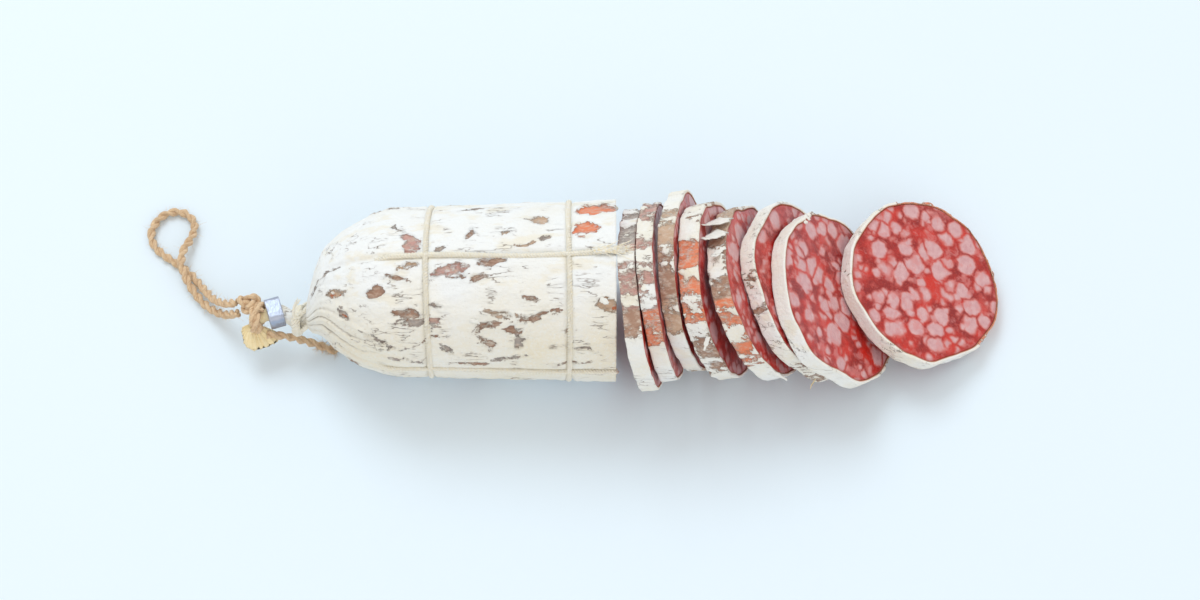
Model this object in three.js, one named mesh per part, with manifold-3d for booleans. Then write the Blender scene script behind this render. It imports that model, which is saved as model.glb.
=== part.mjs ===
// A dry-cured sausage, half of it sliced. The uncut half lies on its side in its mould-covered
// casing, inside the string net it was hung in, with the gathered neck, the clip and the twine
// loop at its far end. Eight slices lean against its cut face and against each other.
// Millimetres, +Z up. +X runs along the sausage from the neck to the slices, and -Y is the front.
import * as THREE from 'three';
import { mergeVertices } from 'three/addons/utils/BufferGeometryUtils.js';
import Module from 'manifold-3d';

const wasm = await Module();
wasm.setup();

// ---- Driving dimensions ----
const DIAMETER = 50.6; // across the sausage at the cut
const BODY_LENGTH = 88; // from the cut face to where the filling ends
const ROUND_END = 27; // how much of that length rounds off towards the neck
const TAPER = 0.06; // how much thinner the sausage is where the round end starts
const FLATTENING = 0.7; // how far its own weight has pressed the underside flat
const SKIN = 0.8; // casing with its coat of mould
const SLICE_SHRINKAGE = 0.6; // a slice dries and shrinks a little

const TOUCH_GAP = 0.3; // between pieces that touch
const LAYER_GAP = 0.2; // between the filling and its casing

const NET_STRING = 1.2; // diameter of the net's string
const HOOPS_FROM_CUT = [13, 52]; // where the net's hoops go round
const LENGTHWISE_ANGLES = [-2, 86, 174, 262]; // from the front, over the top, to the underside
const GROOVE_DEPTH = NET_STRING + 2 * TOUCH_GAP; // the string has sunk into the sausage
const GROOVE_HALF_WIDTH = 2 * NET_STRING;
const STRING_SINK = NET_STRING / 2 + 0.05; // the string's middle lies this far below the surface
const HOOP_DEEPER = 0.14; // the hoops pass just under the lengthwise strings
const TIE_AT = 1.9; // first turn of the net's tie round the neck, past the filling
const TIE_TURNS = 3;
const TIE_SPACING = 0.7 * NET_STRING; // the turns press into each other

const NECK_HEIGHT = 14; // of the clip's middle above the table
const NECK_SIDE = -2; // and how far in front of the sausage's axis
const CLIP = { width: 4.4, across: 8, high: 6, wall: 1, corner: 1.6, slit: 0.6 };
const CLIP_AT = 9.2; // middle of the clip, past the filling
const TWINE = 2.4; // diameter of the twine
const WRAP_SPACING = 0.84 * TWINE; // between the twine's two turns, which press into each other
const KNOT_STRETCH = 1.35; // the knot is longer than it is wide
const TWINE_AT = CLIP_AT + CLIP.width / 2 + 2 * TOUCH_GAP + (WRAP_SPACING + TWINE) / 2;

// Slices in order from the cut: thickness, lean and turn in degrees, and sideways shift.
const SLICES = [
  { thickness: 4.8, lean: 11, turn: 1, side: -3.7 },
  { thickness: 4.6, lean: 12.5, turn: 1, side: -0.8 },
  { thickness: 4.6, lean: 17, turn: -3, side: 2.2 },
  { thickness: 5.8, lean: 21.5, turn: -3, side: 0 },
  { thickness: 5.4, lean: 29, turn: 2, side: -0.3 },
  { thickness: 4.6, lean: 40, turn: -1, side: 1.5 },
  { thickness: 4.8, lean: 44.5, turn: -2, side: -0.9 },
  { thickness: 5, lean: 63.5, turn: -11, side: 8 },
];

// Sections of the gathered casing beyond the filling: distance past it, offset from the clip's
// middle, and half sizes. It is round at the net's tie, squeezed flat in the clip, round under the
// twine, and fans out into a ragged tuft.
const IN_CLIP = [CLIP.across / 2 - CLIP.wall - 0.5, CLIP.high / 2 - CLIP.wall - 0.4];
const TWINE_END = TWINE_AT + (WRAP_SPACING + TWINE) / 2;
const GATHER = [
  { past: CLIP_AT - CLIP.width / 2 - 4, side: -1.6, up: -1.6, half: [2.6, 2.6] },
  { past: CLIP_AT - CLIP.width / 2, side: 0.2, up: 0, half: IN_CLIP },
  { past: CLIP_AT + CLIP.width / 2, side: 0.2, up: 0, half: IN_CLIP },
  { past: TWINE_AT - TWINE, side: -0.4, up: -0.2, half: [2, 2] },
  { past: TWINE_END, side: -1.6, up: -1.4, half: [2, 2] },
  { past: TWINE_END + 1.4, side: -3.4, up: -2.8, half: [2.8, 1.3] },
  { past: TWINE_END + 4, side: -6.4, up: -4.8, half: [4.2, 0.7] },
];
const DIP_FROM = 6.5; // the axis starts to dip towards the neck this far inside the filling's end

// Facets.
const SECTION_STEPS = 6; // between neighbouring lengthwise strings
const SLICE_STEPS = 32;
const STRING_SIDES = 5;
const TURN_STEPS = 14; // round one turn of string or twine at the neck
const TWINE_SIDES = 8;
const LOOP_STEPS = 72;
const TAIL_STEPS = 14;

const radians = THREE.MathUtils.degToRad;
const { lerp, smoothstep } = THREE.MathUtils;
const CUT_END = 0;
const FILLING_END = CUT_END - BODY_LENGTH;

// ---- Closed solids ----

// Joins rings of equal length into one closed solid. Open ends are closed with a fan, and a
// looped row joins its last ring to its first. From the row where a wall turns back on itself, the
// facets are split the other way, so that both sides of the wall are split alike.
function loft(rings, looped = false, turnsBackAt = Infinity) {
  const count = rings[0].length;
  const points = rings.flat();
  const triangles = [];
  const rows = looped ? rings.length : rings.length - 1;
  for (let row = 0; row < rows; row += 1) {
    const next = (row + 1) % rings.length;
    for (let i = 0; i < count; i += 1) {
      const j = (i + 1) % count;
      const [a, b, c, d] = [row * count + i, row * count + j, next * count + j, next * count + i];
      if (row < turnsBackAt) triangles.push(a, b, c, a, c, d);
      else triangles.push(a, b, d, b, c, d);
    }
  }
  if (!looped) {
    const first = rings[0];
    const last = rings[rings.length - 1];
    const start = points.push(middle(first)) - 1;
    const end = points.push(middle(last)) - 1;
    const offset = (rings.length - 1) * count;
    for (let i = 0; i < count; i += 1) {
      const j = (i + 1) % count;
      triangles.push(start, j, i, end, offset + i, offset + j);
    }
  }
  return faceOutward(points, triangles);
}

function middle(ring) {
  const sum = ring.reduce((total, point) => total.add(point), new THREE.Vector3());
  return sum.divideScalar(ring.length);
}

// Turns every triangle over if the solid came out inside out.
function faceOutward(points, triangles) {
  let volume = 0;
  for (let i = 0; i < triangles.length; i += 3) {
    const [a, b, c] = triangles.slice(i, i + 3).map((index) => points[index]);
    volume += a.dot(new THREE.Vector3().crossVectors(b, c));
  }
  const geometry = new THREE.BufferGeometry();
  const positions = points.flatMap((point) => point.toArray());
  geometry.setAttribute('position', new THREE.Float32BufferAttribute(positions, 3));
  geometry.setIndex(volume < 0 ? [...triangles].reverse() : triangles);
  return geometry;
}

function toSolid(geometry) {
  const bare = geometry.clone();
  bare.deleteAttribute('normal');
  bare.deleteAttribute('uv');
  const merged = mergeVertices(bare, 1e-4);
  const mesh = new wasm.Mesh({
    numProp: 3,
    vertProperties: new Float32Array(merged.attributes.position.array),
    triVerts: new Uint32Array(merged.index.array),
  });
  mesh.merge();
  return new wasm.Manifold(mesh);
}

function joined(geometries) {
  const solid = geometries.map(toSolid).reduce((sum, next) => sum.add(next));
  const { vertProperties, triVerts } = solid.getMesh();
  const geometry = new THREE.BufferGeometry();
  geometry.setAttribute('position', new THREE.BufferAttribute(vertProperties, 3));
  geometry.setIndex(new THREE.BufferAttribute(triVerts, 1));
  return geometry;
}

// A round bar of string or twine along a curve.
function bar(curve, diameter, sides, steps) {
  const section = new THREE.Shape();
  for (let i = 0; i < sides; i += 1) {
    const angle = (2 * Math.PI * i) / sides;
    const [u, v] = [Math.cos(angle), Math.sin(angle)].map((value) => (value * diameter) / 2);
    if (i === 0) section.moveTo(u, v);
    else section.lineTo(u, v);
  }
  section.closePath();
  return new THREE.ExtrudeGeometry(section, { steps, bevelEnabled: false, extrudePath: curve });
}

// String laid straight from point to point, as a closed ring or an open length. Each place holds
// the string's middle and the direction that faces away from what it lies on.
function laidString(places, diameter, sides, closed) {
  const last = places.length - 1;
  const rings = places.map(({ point, away }, i) => {
    const before = places[closed ? (i + last) % places.length : Math.max(i - 1, 0)].point;
    const after = places[closed ? (i + 1) % places.length : Math.min(i + 1, last)].point;
    const along = after.clone().sub(before).normalize();
    const across = new THREE.Vector3().crossVectors(along, away).normalize();
    const out = new THREE.Vector3().crossVectors(across, along);
    return Array.from({ length: sides }, (_, k) => {
      const angle = (2 * Math.PI * k) / sides;
      return point
        .clone()
        .addScaledVector(out, (Math.cos(angle) * diameter) / 2)
        .addScaledVector(across, (Math.sin(angle) * diameter) / 2);
    });
  });
  return loft(rings, closed);
}

// Places round a circle in the plane across the sausage.
function circlePlaces(x, centre, radius) {
  return Array.from({ length: TURN_STEPS }, (_, i) => {
    const angle = (2 * Math.PI * i) / TURN_STEPS;
    const away = new THREE.Vector3(0, Math.cos(angle), Math.sin(angle));
    const point = new THREE.Vector3(x, centre.x, centre.y).addScaledVector(away, radius);
    return { point, away };
  });
}

// ---- The sausage's shape ----

// Radius of the filled part at x, without its grooves.
function bodyRadius(x) {
  const along = (CUT_END - x) / (BODY_LENGTH - ROUND_END);
  const full = (DIAMETER / 2) * (1 - TAPER * Math.min(along, 1));
  const into = Math.max(0, (FILLING_END + ROUND_END - x) / ROUND_END);
  return full * Math.max(0, 1 - Math.min(into, 1) ** 1.6) ** 0.57;
}

// Half sizes and centre of the casing at x: the filled part, then the gathered neck.
function section(x) {
  const past = FILLING_END - x;
  const neck = gathered(past);
  const filled = bodyRadius(x);
  const drop = smoothstep(past, -DIP_FROM, GATHER[0].past);
  const axisHeight = bodyRadius(Math.max(x, FILLING_END + ROUND_END)) - FLATTENING;
  const half = neck.half.map((size) => Math.hypot(size * smoothstep(past, -ROUND_END / 3, 0), filled));
  const centre = new THREE.Vector2(lerp(0, neck.side, drop), lerp(axisHeight, neck.height, drop));
  return { half, centre };
}

function gathered(past) {
  const next = GATHER.findIndex((entry) => entry.past >= past);
  const to = GATHER[next < 0 ? GATHER.length - 1 : next];
  const from = GATHER[next < 0 ? GATHER.length - 1 : Math.max(next - 1, 0)];
  const share = from === to ? 0 : (past - from.past) / (to.past - from.past);
  return {
    side: NECK_SIDE + lerp(from.side, to.side, share),
    height: NECK_HEIGHT + lerp(from.up, to.up, share),
    half: from.half.map((size, i) => lerp(size, to.half[i], share)),
  };
}

// The filling is a little out of round, and the shape drifts along the sausage.
function unevenness(angle, x) {
  const drift = x / 40;
  const wave = 0.011 * Math.cos(2 * angle + 0.6 + drift) + 0.008 * Math.cos(3 * angle + 2 - drift);
  return 1 + wave * smoothstep(x, FILLING_END, FILLING_END + ROUND_END);
}

// How far the net has sunk in: fully on the straight part, and not at all next to the neck.
function sunk(x) {
  return smoothstep(x, FILLING_END + ROUND_END / 7, FILLING_END + ROUND_END / 2);
}

// How deep the string's groove is at a place on the filled part.
function groove(x, angle) {
  const fromHoop = Math.min(...HOOPS_FROM_CUT.map((place) => Math.abs(CUT_END - place - x)));
  const fromString = Math.min(...LENGTHWISE_ANGLES.map((place) => {
    const turn = angle - radians(place);
    return Math.abs(Math.atan2(Math.sin(turn), Math.cos(turn))) * bodyRadius(x);
  }));
  const nearest = Math.min(fromHoop, fromString);
  return GROOVE_DEPTH * sunk(x) * Math.max(0, 1 - nearest / GROOVE_HALF_WIDTH);
}

// A point of the casing's outside at x, at an angle from the front over the top. The inset leads
// inwards from it.
function skinPoint(x, angle, inset = 0, withGroove = true) {
  const { half, centre } = section(x);
  const [acrossHalf, highHalf] = half.map((size) => size * unevenness(angle, x));
  const depth = inset + (withGroove ? groove(x, angle) : 0);
  const y = centre.x - (acrossHalf - depth) * Math.cos(angle);
  const z = Math.max(centre.y + highHalf * Math.sin(angle), 0) - depth * Math.sin(angle);
  return new THREE.Vector3(x, y, z);
}

function skinNormal(x, angle) {
  const step = 0.2;
  const along = skinPoint(x + step, angle, 0, false).sub(skinPoint(x - step, angle, 0, false));
  const round = skinPoint(x, angle + 0.02, 0, false).sub(skinPoint(x, angle - 0.02, 0, false));
  return along.cross(round).normalize();
}

// Middle of a net string at a place on the casing: sunk in the groove on the filled part, and
// lying on the casing beyond it.
function stringPlace(x, angle, deeper = 0) {
  const above = NET_STRING / 2 + 2 * TOUCH_GAP;
  const depth = lerp(-above, STRING_SINK, sunk(x)) + deeper;
  const away = skinNormal(x, angle);
  return { point: skinPoint(x, angle, 0, false).addScaledVector(away, -depth), away };
}

// Angles round the sausage, with three close together at each lengthwise string.
function sectionAngles() {
  const halfGroove = GROOVE_HALF_WIDTH / (DIAMETER / 2);
  return LENGTHWISE_ANGLES.flatMap((degrees, i) => {
    const here = radians(degrees);
    const next = radians(LENGTHWISE_ANGLES[(i + 1) % LENGTHWISE_ANGLES.length]);
    const span = ((next - here + 2 * Math.PI) % (2 * Math.PI)) - 2 * halfGroove;
    const between = Array.from(
      { length: SECTION_STEPS },
      (_, k) => here + halfGroove + (span * k) / SECTION_STEPS,
    );
    return [here, ...between, here + halfGroove + span];
  });
}

// Places along the sausage from the filling's end to the cut, with three at each hoop.
function bodyStations() {
  const shares = [0.015, 0.05, 0.11, 0.185, 0.28, 0.39, 0.52, 0.67, 0.83, 1];
  const round = shares.map((share) => FILLING_END + share * ROUND_END);
  const hoops = HOOPS_FROM_CUT.flatMap((place) =>
    [-1, 0, 1].map((side) => CUT_END - place + side * GROOVE_HALF_WIDTH));
  const [firstHoop, lastHoop] = [Math.min(...HOOPS_FROM_CUT), Math.max(...HOOPS_FROM_CUT)];
  const plain = [0.25, 0.5, 0.75].map((share) => CUT_END - lerp(firstHoop, lastHoop, share));
  return [...round, ...hoops, ...plain, CUT_END - firstHoop / 2, CUT_END].sort((a, b) => a - b);
}

// ---- The uncut half ----

function casingGeometry() {
  const angles = sectionAngles();
  const ring = (x, inset) => angles.map((angle) => skinPoint(x, angle, inset));
  const stations = bodyStations();
  const tied = Array.from({ length: TIE_TURNS }, (_, i) => TIE_AT + (i - 1) * TIE_SPACING);
  const neck = [...tied, ...GATHER.map(({ past }) => past)].map((past) => FILLING_END - past);
  const outside = [...neck.reverse(), ...stations].map((x) => ring(x, 0));
  const inside = stations.slice(2).reverse().map((x) => ring(x, SKIN));
  return loft([...outside, ...inside], false, outside.length);
}

function fillingGeometry() {
  const angles = sectionAngles();
  const stations = bodyStations().slice(3);
  return loft(stations.map((x) => angles.map((angle) => skinPoint(x, angle, SKIN + LAYER_GAP))));
}

// ---- The net: hoops, lengthwise strings and the tie round the neck, knitted into one ----

function netGeometry() {
  const hoops = HOOPS_FROM_CUT.map((place) => {
    const places = sectionAngles().map((angle) => stringPlace(CUT_END - place, angle, HOOP_DEEPER));
    return laidString(places, NET_STRING, STRING_SIDES, true);
  });
  const turns = Array.from({ length: TIE_TURNS }, (_, i) => tieTurn(TIE_AT + i * TIE_SPACING));
  const tie = turns.map((places) => laidString(places, NET_STRING, STRING_SIDES, true));
  const lengthwise = LENGTHWISE_ANGLES.map((degrees) => {
    const angle = radians(degrees);
    const places = bodyStations().slice(1).map((x) => stringPlace(x, angle));
    const start = tiePlace(TIE_AT, angle);
    return laidString([start, ...places], NET_STRING, STRING_SIDES, false);
  });
  return joined([...hoops, ...tie, ...lengthwise, looseEnd(tiePlace(TIE_AT, radians(70)).point)]);
}

// One turn of the tie round the neck, so far past the filling.
function tieTurn(past) {
  return Array.from({ length: TURN_STEPS }, (_, i) => tiePlace(past, (2 * Math.PI * i) / TURN_STEPS));
}

function tiePlace(past, angle) {
  const { half, centre } = section(FILLING_END - past);
  const away = new THREE.Vector3(0, -Math.cos(angle), Math.sin(angle));
  const middle = new THREE.Vector3(FILLING_END - past, centre.x, centre.y);
  return { point: middle.addScaledVector(away, half[0] + NET_STRING / 2 + 2 * TOUCH_GAP), away };
}

// The tie's loose end curls up behind the neck.
function looseEnd(start) {
  const steps = [[0, 0, 0], [-1.2, -0.4, 2], [-1, 1.4, 4.2], [0.4, 3, 6]];
  const points = steps.map((step) => start.clone().add(new THREE.Vector3(...step)));
  return bar(new THREE.CatmullRomCurve3(points), NET_STRING * 0.8, STRING_SIDES, 8);
}

// ---- The clip: a flat aluminium band bent round the neck, its ends meeting underneath ----

function clipGeometry() {
  const { width, across, high, wall, corner, slit } = CLIP;
  const band = new THREE.Shape();
  band.moveTo(slit / 2, -high / 2);
  roundCorners(band, across / 2, high / 2, corner, true);
  band.lineTo(-slit / 2, -high / 2);
  band.lineTo(-slit / 2, -high / 2 + wall);
  roundCorners(band, across / 2 - wall, high / 2 - wall, corner - wall, false);
  band.lineTo(slit / 2, -high / 2 + wall);
  band.closePath();
  const options = { depth: width, bevelEnabled: false, curveSegments: 3 };
  return new THREE.ExtrudeGeometry(band, options).translate(0, 0, -width / 2);
}

// The four corners of a rectangle as arcs, one way round from the lower right or the other way
// back to it.
function roundCorners(path, halfAcross, halfHigh, radius, forwards) {
  const [y, z] = [halfAcross - radius, halfHigh - radius];
  const centres = [[y, -z], [y, z], [-y, z], [-y, -z]];
  const quarter = Math.PI / 2;
  const arcs = centres.map(([u, v], i) => ({ u, v, start: (i - 1) * quarter, end: i * quarter }));
  if (forwards) arcs.forEach(({ u, v, start, end }) => path.absarc(u, v, radius, start, end, false));
  else arcs.reverse().forEach(({ u, v, start, end }) => path.absarc(u, v, radius, end, start, true));
}

// ---- The twine: wraps and knot round the neck, a hanging loop and a short tail ----

function twineKnotGeometry() {
  const wraps = [-0.5, 0.5].map((side) => {
    const x = FILLING_END - TWINE_AT - side * WRAP_SPACING;
    const { half, centre } = section(x);
    const places = circlePlaces(x, centre, half[0] + TOUCH_GAP + TWINE / 2);
    return laidString(places, TWINE, TWINE_SIDES, true);
  });
  const knot = new THREE.SphereGeometry(TWINE * 0.95, 12, 8);
  knot.scale(KNOT_STRETCH, 1, 1).translate(...knotPlace().toArray());
  return joined([...wraps, knot]);
}

// The knot sits on the far wrap, behind the neck and above it.
function knotPlace() {
  const { half, centre } = section(FILLING_END - TWINE_AT);
  const away = half[0] + TOUCH_GAP + TWINE;
  const x = FILLING_END - TWINE_AT - 1.1 * TWINE;
  return new THREE.Vector3(x, centre.x + away * 0.8, centre.y + away * 0.45);
}

// Points of the loop: x from the knot's far end, y and height as it lies on the table.
const LOOP_POINTS = [
  [-0.4, 1.6, 14.2], [-4.3, 3.2, 10.2], [-8.3, 6.6, 6.4], [-12.5, 12.2, 3], [-16.5, 17.2, 1.3],
  [-20.9, 21, 1.3], [-25.3, 24.2, 1.3], [-28.3, 27.3, 1.3], [-29.5, 31.1, 1.3], [-28.3, 35.4, 1.3],
  [-25.7, 38, 1.3], [-22.7, 38.8, 1.3], [-19.7, 38, 1.3], [-17.5, 35.8, 1.4], [-16.8, 32.8, 1.6],
  [-17.6, 28.8, 2.3], [-19.1, 24.6, 3.4], [-19.1, 19.2, 4.1], [-16.7, 13.6, 2.9], [-12.7, 8.2, 2.3],
  [-8.1, 3.8, 4.2], [-3.9, 0.8, 7.8], [-0.1, -1, 12.4],
];
const LOOP_FROM = knotPlace().x - TWINE * 0.95 * KNOT_STRETCH;

// Points of the tail: x from the near side of the wraps. It drops from them and ends on the table
// under the round end.
const TAIL_POINTS = [
  [0.3, -6.8, 10.3], [3.8, -6.6, 9.2], [8.3, -6.2, 6.6], [12.8, -6.2, 3.4], [16.8, -6.8, 1.6],
  [19.8, -7.4, 1.3],
];
const TAIL_FROM = FILLING_END - TWINE_AT + (WRAP_SPACING + TWINE) / 2;

function cord(points, from, steps) {
  const places = points.map(([x, y, z]) => new THREE.Vector3(from + x, y, z));
  return bar(new THREE.CatmullRomCurve3(places, false, 'centripetal'), TWINE, TWINE_SIDES, steps);
}

// ---- Slices ----

// A slice's outline at an angle, as a share of its radius. Each slice has its own shape.
function sliceOutline(angle, order) {
  const wave = 0.014 * Math.cos(2 * angle + 0.6 + order) + 0.01 * Math.cos(3 * angle + 2 - order * 0.7);
  return 1 + wave + 0.005 * Math.cos(5 * angle + order * 2.1);
}

function sliceRing(order, x, inset) {
  return Array.from({ length: SLICE_STEPS }, (_, i) => {
    const angle = (2 * Math.PI * i) / SLICE_STEPS;
    const radius = ((DIAMETER - SLICE_SHRINKAGE) / 2) * sliceOutline(angle, order) - inset;
    return new THREE.Vector3(x, radius * Math.cos(angle), radius * Math.sin(angle));
  });
}

function sliceFilling(order, thickness) {
  const inset = SKIN + LAYER_GAP;
  return loft([sliceRing(order, -thickness / 2, inset), sliceRing(order, thickness / 2, inset)]);
}

function sliceRind(order, thickness) {
  const [back, front] = [-thickness / 2, thickness / 2];
  const corners = [[back, 0], [front, 0], [front, SKIN], [back, SKIN]];
  return loft(corners.map(([x, inset]) => sliceRing(order, x, inset)), true);
}

// Stands a slice on the table and slides it towards the one before it until they touch.
function placeSlice(group, order, before) {
  const { thickness, lean, turn, side } = SLICES[order];
  group.rotation.set(0, radians(-lean), radians(turn), 'ZYX');
  group.position.set(0, side, 0);
  const turned = (x) => sliceRing(order, x, 0).map((point) => point.applyEuler(group.rotation));
  const [back, front] = [turned(-thickness / 2), turned(thickness / 2)];
  group.position.z = -Math.min(...[...back, ...front].map((point) => point.z));
  const normal = new THREE.Vector3(1, 0, 0).applyEuler(group.rotation);
  const moved = (points) => points.map((point) => point.clone().add(group.position));
  const placed = { normal, back: moved(back), front: moved(front) };
  const slide = slideToTouch(before, placed);
  group.position.x = slide;
  placed.back.forEach((point) => { point.x += slide; });
  placed.front.forEach((point) => { point.x += slide; });
  return placed;
}

// How far to move a slice along X so that a flat side of one of the two just clears the other.
function slideToTouch(before, placed) {
  const clearBeyond = (normal, origin, points) =>
    Math.min(...points.map((point) => point.clone().sub(origin).dot(normal)));
  const beyondBefore = clearBeyond(before.normal, before.front[0], placed.back);
  const backwards = placed.normal.clone().negate();
  const behindPlaced = clearBeyond(backwards, placed.back[0], before.front);
  return Math.min(
    (TOUCH_GAP - beyondBefore) / before.normal.x,
    (TOUCH_GAP - behindPlaced) / placed.normal.x,
  );
}

// ---- Materials ----

const material = (color, roughness, metalness = 0) =>
  new THREE.MeshStandardMaterial({ color, roughness, metalness });
const MOULD = material('#e9e4d8', 0.95);
const MEAT = material('#b03428', 0.45);
const STRING = material('#e8dfc0', 0.9);
const JUTE = material('#c29a6c', 0.95);
const ALUMINIUM = material('#c3c8d2', 0.35, 1);

// ---- Assembly ----

function add(parent, name, geometry, finish) {
  const mesh = new THREE.Mesh(geometry, finish.clone());
  mesh.name = name;
  parent.add(mesh);
  return mesh;
}

const sausage = new THREE.Group();
add(sausage, 'sausage_filling', fillingGeometry(), MEAT);
add(sausage, 'sausage_casing', casingGeometry(), MOULD);
add(sausage, 'netting', netGeometry(), STRING);

const clipPlace = section(FILLING_END - CLIP_AT).centre;
const clip = add(sausage, 'clip', clipGeometry(), ALUMINIUM);
clip.rotation.set(Math.PI / 2, 0, Math.PI / 2, 'ZYX');
clip.position.set(FILLING_END - CLIP_AT, clipPlace.x, clipPlace.y);

add(sausage, 'twine_knot', twineKnotGeometry(), JUTE);

let before = {
  normal: new THREE.Vector3(1, 0, 0),
  front: sectionAngles().map((angle) => skinPoint(CUT_END, angle)),
};
SLICES.forEach(({ thickness }, order) => {
  const slice = new THREE.Group();
  add(slice, `slice_${order + 1}_meat`, sliceFilling(order, thickness), MEAT);
  add(slice, `slice_${order + 1}_rind`, sliceRind(order, thickness), MOULD);
  before = placeSlice(slice, order, before);
  sausage.add(slice);
});

// The origin is on the table, under the middle of everything but the free twine.
sausage.updateMatrixWorld(true);
const bounds = new THREE.Box3().setFromObject(sausage, true);
const centre = bounds.getCenter(new THREE.Vector3());
sausage.position.set(-centre.x, -centre.y, -bounds.min.z);

add(sausage, 'hanging_loop', cord(LOOP_POINTS, LOOP_FROM, LOOP_STEPS), JUTE);
add(sausage, 'twine_tail', cord(TAIL_POINTS, TAIL_FROM, TAIL_STEPS), JUTE);

export default sausage;
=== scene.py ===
"""A dry-cured sausage, half of it sliced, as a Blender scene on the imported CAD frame.

Shapes are worked out in millimetres, with X = 0 at the cut face, Y = 0 on the sausage's axis and
Z = 0 on the table, and are moved into the row frame, in metres, when a piece is made.
"""

import itertools
import math

import bmesh
import bpy
import numpy as np
from mathutils import Matrix, Vector


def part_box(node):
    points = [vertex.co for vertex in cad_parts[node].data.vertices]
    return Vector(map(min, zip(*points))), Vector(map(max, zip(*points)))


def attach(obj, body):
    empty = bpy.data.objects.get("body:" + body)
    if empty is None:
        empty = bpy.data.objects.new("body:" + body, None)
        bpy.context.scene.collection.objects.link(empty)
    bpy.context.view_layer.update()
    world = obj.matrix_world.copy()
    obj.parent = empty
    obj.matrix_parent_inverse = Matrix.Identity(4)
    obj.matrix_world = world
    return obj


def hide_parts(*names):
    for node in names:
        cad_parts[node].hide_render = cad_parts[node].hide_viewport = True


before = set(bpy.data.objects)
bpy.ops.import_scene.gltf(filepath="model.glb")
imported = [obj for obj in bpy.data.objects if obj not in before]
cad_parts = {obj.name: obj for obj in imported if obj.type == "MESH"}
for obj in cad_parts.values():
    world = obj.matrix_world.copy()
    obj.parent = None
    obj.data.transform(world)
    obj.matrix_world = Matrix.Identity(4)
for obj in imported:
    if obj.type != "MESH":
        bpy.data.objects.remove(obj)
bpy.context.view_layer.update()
MM = 0.001

# ---- Sizes of the CAD model, in millimetres ----
DIAMETER = 50.6
BODY_LENGTH = 88
ROUND_END = 27
TAPER = 0.06
FLATTENING = 0.7
SKIN = 0.8
SLICE_RADIUS = 25
NET_STRING = 1.2
HOOPS_FROM_CUT = [13, 52]
TOP_STRING = 86
LENGTHWISE_ANGLES = [-2, TOP_STRING, 174, 262]
# The crust has grown back over most of the groove that the CAD keeps clear for the string.
GROOVE_DEPTH = 0.75
GROOVE_HALF_WIDTH = 1.5
STRING_SINK = 0.65
STRING_RAISED = 0.42
TIE_AT = 1.9
TIE_TURNS = 3
TIE_SPACING = 0.84
NECK_HEIGHT = 14
NECK_SIDE = -2
TWINE = 2.4
TWINE_AT = 14.208
WRAP_SPACING = 2.016
KNOT_STRETCH = 1.35
DIP_FROM = 6.5  # before the filling's end, where the casing starts to drop to the clip
FILLING_END = -BODY_LENGTH
NECK_END = 16.416  # past the filling, where the tuft starts
# Sections of the gathered neck: distance past the filling, offset from the clip's middle
# sideways and upwards, and half sizes across and upwards.
GATHER = np.array([
    [3, -1.6, -1.6, 2.6, 2.6],
    [7, 0.2, 0, 2.5, 1.6],
    [11.4, 0.2, 0, 2.5, 1.6],
    [11.808, -0.4, -0.2, 2, 2],
    [16.416, -1.6, -1.4, 2, 2],
    [17.816, -3.4, -2.8, 2.8, 1.3],
    [20.416, -6.4, -4.8, 4.2, 0.7],
])
# Slices in order from the cut: thickness, and lean and turn in degrees.
SLICES = [(4.8, 11, 1), (4.6, 12.5, 1), (4.6, 17, -3), (5.8, 21.5, -3)]
SLICES += [(5.4, 29, 2), (4.6, 40, -1), (4.8, 44.5, -2), (5, 63.5, -11)]

# The model's origin in the row frame: the cut face in X, and the axis, which lies 1.8 mm behind
# the clip's middle, in Y.
CLIP_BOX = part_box("clip")
ORIGIN = np.array([
    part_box("sausage_casing")[1].x / MM,
    (CLIP_BOX[0].y + CLIP_BOX[1].y) / 2 / MM + 1.8,
    0,
])


# ---- Camera ----

PHOTO_ELEVATION = math.radians(62)
CAMERA_DISTANCE = 0.67416
AIM = Vector((-0.0059, -0.00538, 0.025))


def new_object(name, data):
    """An object in the scene."""
    made = bpy.data.objects.new(name, data)
    bpy.context.scene.collection.objects.link(made)
    return made


def add_camera():
    data = bpy.data.cameras.new("photo_camera")
    data.lens = 72
    data.sensor_width = 36
    data.clip_start = 0.01
    camera = new_object("photo_camera", data)
    away = Vector((0, -math.cos(PHOTO_ELEVATION), math.sin(PHOTO_ELEVATION)))
    camera.location = AIM + away * CAMERA_DISTANCE
    camera.rotation_euler = (math.pi / 2 - PHOTO_ELEVATION, 0, 0)
    bpy.context.scene.camera = camera


add_camera()

# ---- Colours ----


def linear(red, green, blue):
    """A colour as seen on a screen, 0 to 255, as the linear values that shaders use."""
    shares = np.array([red, green, blue]) / 255
    return np.where(shares < 0.04045, shares / 12.92, ((shares + 0.055) / 1.055) ** 2.4)


def rgba(colour):
    return (*[float(part) for part in colour], 1.0)


MOULD_WHITE = linear(242, 244, 244)
MOULD_CREAM = linear(236, 224, 194)
TAN = linear(200, 168, 140)
BROWN = linear(166, 128, 106)
PINK = linear(200, 152, 142)
GREY = linear(168, 158, 152)
ORANGE = linear(230, 128, 86)
HONEY = linear(244, 222, 172)
CUT_CASING = linear(186, 112, 78)
CRACK = linear(136, 114, 100)
FLECK = linear(196, 178, 150)
# Painted shade for the pleats of the casing near the neck.
FOLD_SHADE = linear(158, 146, 130)

# ---- Noise and fades ----


def lattice(x, y, z, seed):
    """A repeatable random number from 0 to 1 for each point with whole coordinates."""
    mixed = (x * 374761393 + y * 668265263 + z * 1440662683 + seed * 1274126177) & 0xFFFFFFFF
    mixed = ((mixed ^ (mixed >> 13)) * 1274126177) & 0xFFFFFFFF
    return ((mixed ^ (mixed >> 16)) & 0xFFFF) / 65535.0


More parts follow.
